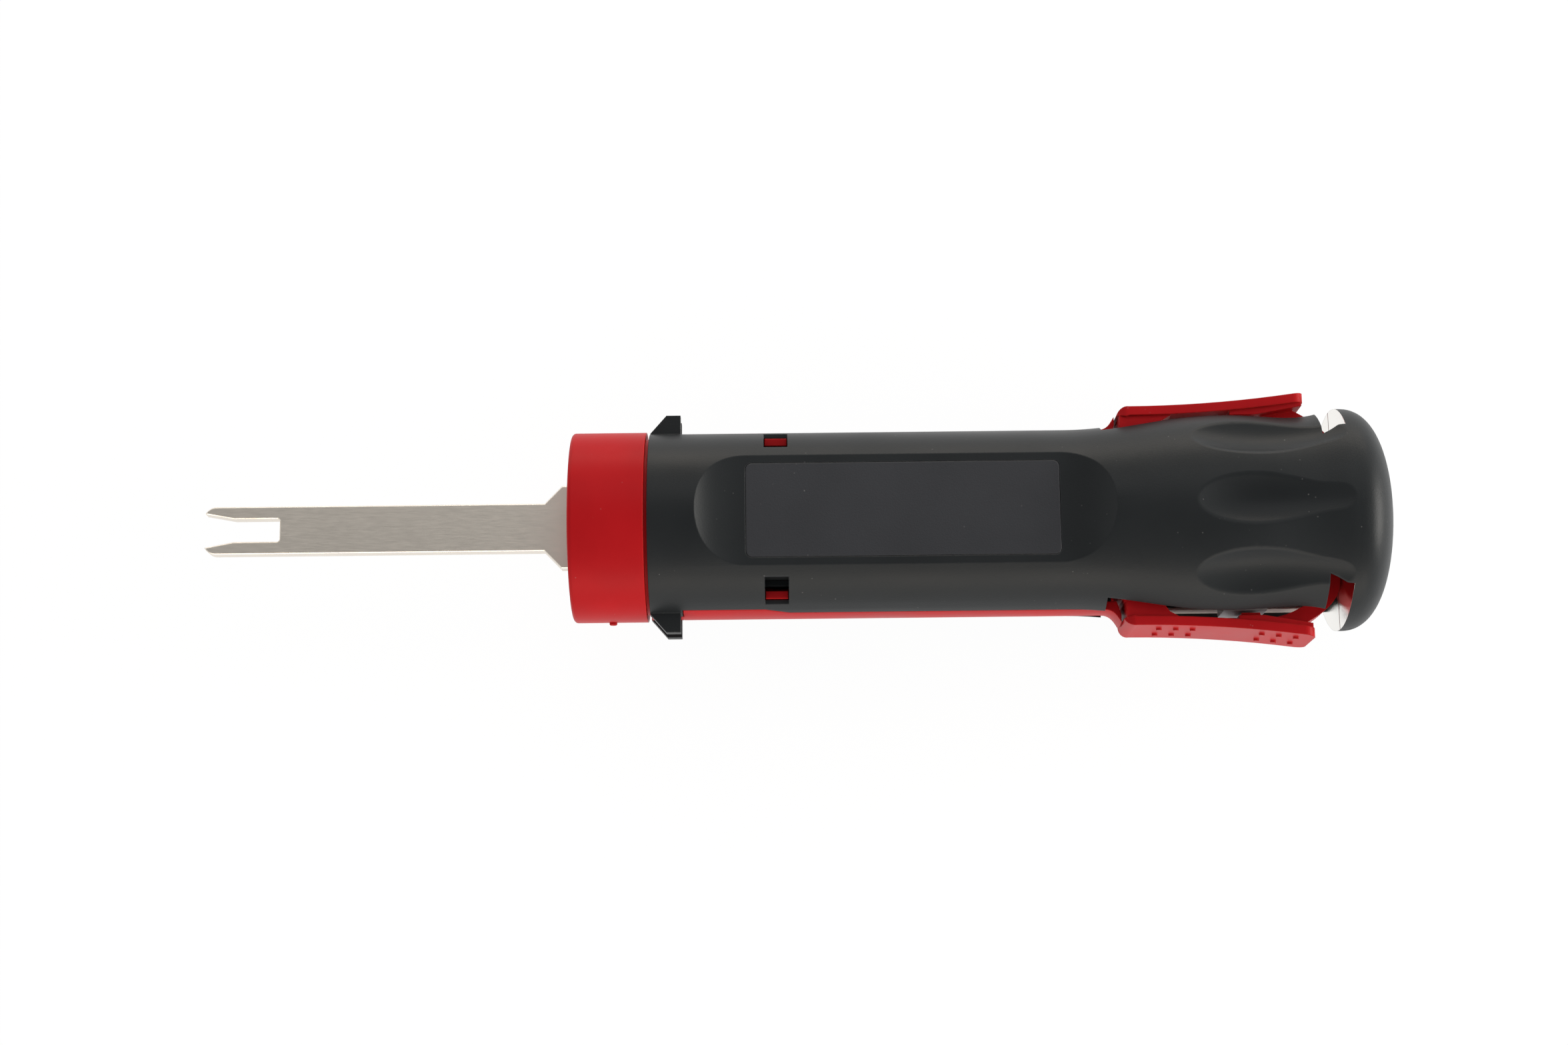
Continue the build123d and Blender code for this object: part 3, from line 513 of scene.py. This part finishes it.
def steel(name, color, finish, roughness):
    """Satin steel with rolling marks along X and brighter edges, partly wear and partly painted
    highlight.
    """
    material, tree, shader, vector = start_material(name)
    edge_wear_and_sheen = place_group(tree, "Edge Wear and Sheen", edge_wear_and_sheen_group, vector, Radius=STEEL_EDGE_RADIUS)
    sizes = {"Length": finish.grain_length, "Width": finish.grain_width}
    marks = place_group(tree, "Rolled Steel", rolled_group, vector, **sizes)
    tone = map_range(tree, marks.outputs["Tone"], TONE_LOW, TONE_HIGH, 0.0, 1.0)
    darker = tuple(0.98 * c for c in color)
    lighter = tuple(1.02 * c for c in color)
    base = blend_color(tree, tone, darker, lighter)
    # brighter edge colour: partly wear, partly painted highlight
    bright = tuple(min(1.0, 1.35 * c) for c in color)
    worn_and_lit_edges = blend_color(tree, edge_wear_and_sheen.outputs["Mask"], base, bright)
    tree.links.new(worn_and_lit_edges, shader.inputs["Base Color"])
    shader.inputs["Metallic"].default_value = 1.0
    smoothest, roughest = roughness - 0.05, roughness + 0.06
    rough = map_range(tree, marks.outputs["Height"], TONE_LOW, TONE_HIGH, smoothest, roughest)
    tree.links.new(rough, shader.inputs["Roughness"])
    bump = add_node(tree, "ShaderNodeBump")
    bump.inputs["Distance"].default_value = STEEL_GRAIN_DEPTH
    tree.links.new(marks.outputs["Height"], bump.inputs["Height"])
    tree.links.new(edge_wear_and_sheen.outputs["Normal"], bump.inputs["Normal"])
    tree.links.new(bump.outputs["Normal"], shader.inputs["Normal"])
    return material


def assign(piece, material):
    """Gives a piece one material all over."""
    piece.data.materials.clear()
    piece.data.materials.append(material)


# ------------------------------------------------------------------ positions


def shell_face_x():
    """X of the cap's front face, which the shells' notches lay bare."""
    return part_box("upper_shell")[1][0] - CAP_LENGTH


# ------------------------------------------------------------------ operators


class RELTOOL_OT_shells(Operator):
    """Finishes the two grip shells and their marking plates"""

    bl_idname = "reltool.shells"
    bl_label = "Finish Shells"

    def execute(self, context):
        finish = context.scene.reltool_plastic
        shell = plastic(
            "shell_plastic",
            finish.shell_color,
            SHELL_EDGE_WEAR_AND_SHEEN,
            finish,
            roughness=0.42,
            specular=0.30,
            ior=1.40,
        )
        plate = plastic(
            "plate_plastic",
            finish.plate_color,
            SHELL_EDGE_WEAR_AND_SHEEN,
            finish,
            roughness=0.50,
            grain=1.6,
            specular=0.4,
        )
        # painted reflection on the cap's front face, which is black plastic
        painted_reflection_facing(shell, shell_face_x(), REFLECTION_FACING_COLOR)
        for node in SHELLS:
            assign(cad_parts[node], shell)
        for node in PLATES:
            assign(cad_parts[node], plate)
        return {"FINISHED"}


class RELTOOL_OT_red_pieces(Operator):
    """Finishes the collar, the inner body and the levers"""

    bl_idname = "reltool.red_pieces"
    bl_label = "Finish Red Pieces"

    def execute(self, context):
        finish = context.scene.reltool_plastic
        # the red's edge colour is a painted highlight on its rounded edges
        red = plastic(
            "red_plastic",
            finish.red_color,
            RED_EDGE_HIGHLIGHT,
            finish,
            roughness=0.38,
            grain=0.8,
            specular=0.3,
            ior=1.22,
        )
        for node in RED_PIECES:
            assign(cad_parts[node], red)
        self.add_gate_pip(red)
        return {"FINISHED"}

    def add_gate_pip(self, red):
        """A small rounded pip on the collar's -Y side, where the mould was filled."""
        low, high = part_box("nose_collar")
        place = (0.5 * (low[0] + high[0]) - PIP_FORWARD, low[1], PIP_Z)
        bpy.ops.object.select_all(action="DESELECT")
        bpy.ops.mesh.primitive_cylinder_add(
            vertices=32,
            radius=PIP_RADIUS,
            depth=PIP_HEIGHT,
            location=place,
            rotation=(math.radians(90), 0, 0),
        )
        pip = bpy.context.object
        pip.name = "gate_pip"
        bpy.ops.object.transform_apply(location=True, rotation=True, scale=True)
        outermost = min(vertex.co.y for vertex in pip.data.vertices)
        bpy.ops.object.mode_set(mode="EDIT")
        bpy.ops.mesh.select_all(action="DESELECT")
        bpy.ops.object.mode_set(mode="OBJECT")
        for face in pip.data.polygons:
            face.select = face.center.y < outermost + 0.01 * MM
        bpy.ops.object.mode_set(mode="EDIT")
        bpy.ops.mesh.bevel(offset=PIP_ROUNDING, segments=4, profile=0.5)
        bpy.ops.object.mode_set(mode="OBJECT")
        bpy.ops.object.shade_smooth_by_angle(angle=math.radians(40))
        assign(pip, red)
        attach(pip, "handle")


class RELTOOL_OT_steel_pieces(Operator):
    """Finishes the blade, the clamp, the fasteners, the slot strips (pale, as a painted reflection)
    and the jaw pads
    """

    bl_idname = "reltool.steel_pieces"
    bl_label = "Finish Steel Pieces"

    def execute(self, context):
        metal = context.scene.reltool_metal
        moulded = context.scene.reltool_plastic
        bright_color = tuple(STEEL_BRIGHTENING * c for c in metal.steel_color)
        blade = steel("blade_steel", metal.blade_color, metal, roughness=0.34)
        inner = steel("inner_steel", metal.steel_color, metal, roughness=0.42)
        bright = steel("fastener_steel", bright_color, metal, roughness=0.25)
        # pale painted reflection on the slot strips, which are steel pieces
        strip_reflection = plastic("strip_painted_reflection", STRIP_REFLECTION_COLOR, STRIP_EDGE_WEAR_AND_SHEEN, moulded, roughness=0.3)
        rubber = plastic(
            "pad_rubber", RUBBER_COLOR, RUBBER_EDGE_WEAR_AND_SHEEN, moulded, roughness=0.7, grain=2.0
        )
        finishes = (
            (("blade",), blade),
            (INNER_STEEL, inner),
            (BRIGHT_STEEL, bright),
            (STRIPS, strip_reflection),
            (PADS, rubber),
        )
        for nodes, material in finishes:
            for node in nodes:
                assign(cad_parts[node], material)
        return {"FINISHED"}


class RELTOOL_OT_stage(Operator):
    """Adds the floor, the lamps, the even light and the camera"""

    bl_idname = "reltool.stage"
    bl_label = "Set Stage"

    def execute(self, context):
        sizes = context.scene.reltool_stage
        low = CAD_BOX[0]
        bpy.ops.object.select_all(action="DESELECT")
        bpy.ops.mesh.primitive_plane_add(size=FLOOR_SIZE, location=(0, 0, low[2] - FLOOR_GAP))
        floor = context.object
        floor.name = "studio_floor"
        assign(floor, floor_material())
        self.add_lamps(sizes)
        self.set_world(context, sizes)
        self.add_camera(context, sizes)
        context.scene.view_settings.view_transform = "Standard"
        return {"FINISHED"}

    def add_lamps(self, sizes):
        """A soft top lamp, a long lamp along each flank and one behind the cap."""
        target = Vector(LAMP_TARGET)
        side = sizes.side_power
        # name, place, width, height, power, colour
        lamps = (
            ("top_lamp", (0.06, 0.36, 0.50), 0.45, 0.3, sizes.key_power, WHITE_LIGHT),
            ("left_side_lamp", (0.03, 0.50, 0.05), 0.8, 0.22, side, WARM_LIGHT),
            ("right_side_lamp", (0.03, -0.50, 0.05), 0.8, 0.22, side, WARM_LIGHT),
            ("cap_lamp", (0.50, 0.0, 0.12), 0.3, 0.2, 1.1 * side, CAP_LIGHT),
        )
        for name, place, width, height, power, color in lamps:
            bpy.ops.object.light_add(type="AREA", location=place)
            lamp = bpy.context.object
            lamp.name = name
            lamp.data.shape = "RECTANGLE"
            lamp.data.size = width
            lamp.data.size_y = height
            lamp.data.energy = power
            lamp.data.color = color
            lamp.rotation_euler = (target - Vector(place)).to_track_quat("-Z", "Y").to_euler()

    def set_world(self, context, sizes):
        """A light tent, bright around the tool, dim overhead, and plain white to the camera."""
        world = bpy.data.worlds.new("studio_world")
        world.use_nodes = True
        tree = world.node_tree
        background = tree.nodes["Background"]
        background.inputs["Color"].default_value = (1, 1, 1, 1)
        path = tree.nodes.new("ShaderNodeLightPath")
        camera_ray, through_ray = path.outputs["Is Camera Ray"], path.outputs["Is Transmission Ray"]
        seen = math_node(tree, "MAXIMUM", camera_ray, through_ray)
        direction = tree.nodes.new("ShaderNodeTexCoord").outputs["Generated"]
        height = tree.nodes.new("ShaderNodeSeparateXYZ")
        tree.links.new(direction, height.inputs[0])
        side, top = sizes.tent_side, sizes.tent_top
        tent = map_range(tree, height.outputs["Z"], TENT_EDGE, 1.0, side, top)
        tree.links.new(math_node(tree, "MAXIMUM", seen, tent), background.inputs["Strength"])
        context.scene.world = world

    def add_camera(self, context, sizes):
        """The camera looks down on the tool, a little from the -Y side."""
        bpy.ops.object.camera_add()
        camera = context.object
        camera.name = "studio_camera"
        back = Vector((0, -math.cos(sizes.elevation), math.sin(sizes.elevation)))
        up = Vector((0, math.sin(sizes.elevation), math.cos(sizes.elevation)))
        target = Vector((CAMERA_TARGET_X, 0, 0)) + up * CAMERA_TARGET_RISE_MM * MM
        right = up.cross(back)
        turn = Matrix.Rotation(sizes.roll, 3, "Z")
        axes = Matrix((right, up, back)).transposed() @ turn
        camera.matrix_world = Matrix.Translation(target + back * sizes.distance) @ axes.to_4x4()
        camera.data.sensor_width = SENSOR_WIDTH
        camera.data.lens = SENSOR_WIDTH * sizes.distance / sizes.view_width
        camera.data.clip_start = 0.01
        context.scene.camera = camera


def floor_material():
    """White to the camera and in reflections, keeping a faint shadow."""
    material = bpy.data.materials.new("floor_white")
    material.use_nodes = True
    tree = material.node_tree
    tree.nodes.clear()
    output = tree.nodes.new("ShaderNodeOutputMaterial")
    diffuse = tree.nodes.new("ShaderNodeBsdfDiffuse")
    diffuse.inputs["Color"].default_value = (FLOOR_GREY, FLOOR_GREY, FLOOR_GREY, 1)
    glow = tree.nodes.new("ShaderNodeEmission")
    glow.inputs["Color"].default_value = (1, 1, 1, 1)
    glow.inputs["Strength"].default_value = FLOOR_GLOW
    path = tree.nodes.new("ShaderNodeLightPath")
    seen = math_node(tree, "MAXIMUM", path.outputs["Is Camera Ray"], path.outputs["Is Glossy Ray"])
    seen = math_node(tree, "MAXIMUM", seen, path.outputs["Is Transmission Ray"])
    mix = tree.nodes.new("ShaderNodeMixShader")
    tree.links.new(math_node(tree, "MULTIPLY", seen, FLOOR_GLOW_SHARE), mix.inputs["Fac"])
    tree.links.new(diffuse.outputs["BSDF"], mix.inputs[1])
    tree.links.new(glow.outputs["Emission"], mix.inputs[2])
    tree.links.new(mix.outputs["Shader"], output.inputs["Surface"])
    return material


class RELTOOL_PT_panel(Panel):
    """Sidebar list of the tool's pieces and settings"""

    bl_label = "Release Tool"
    bl_idname = "RELTOOL_PT_panel"
    bl_space_type = "VIEW_3D"
    bl_region_type = "UI"
    bl_category = "Release Tool"

    def draw(self, context):
        layout = self.layout
        for operator in OPERATORS:
            layout.operator(operator.bl_idname)
        scene = context.scene
        for group in (scene.reltool_plastic, scene.reltool_metal, scene.reltool_stage):
            box = layout.box()
            for key in group.__annotations__:
                box.prop(group, key)


OPERATORS = (
    RELTOOL_OT_shells,
    RELTOOL_OT_red_pieces,
    RELTOOL_OT_steel_pieces,
    RELTOOL_OT_stage,
)
SETTINGS = (PlasticFinish, MetalFinish, StageSizes)


def register():
    for item in (*SETTINGS, *OPERATORS, RELTOOL_PT_panel):
        bpy.utils.register_class(item)
    bpy.types.Scene.reltool_plastic = PointerProperty(type=PlasticFinish)
    bpy.types.Scene.reltool_metal = PointerProperty(type=MetalFinish)
    bpy.types.Scene.reltool_stage = PointerProperty(type=StageSizes)


def unregister():
    del bpy.types.Scene.reltool_stage
    del bpy.types.Scene.reltool_metal
    del bpy.types.Scene.reltool_plastic
    for item in reversed((*SETTINGS, *OPERATORS, RELTOOL_PT_panel)):
        bpy.utils.unregister_class(item)


def main():
    register()
    bpy.ops.reltool.shells()
    bpy.ops.reltool.red_pieces()
    bpy.ops.reltool.steel_pieces()
    bpy.ops.reltool.stage()


if __name__ == "__main__":
    main()
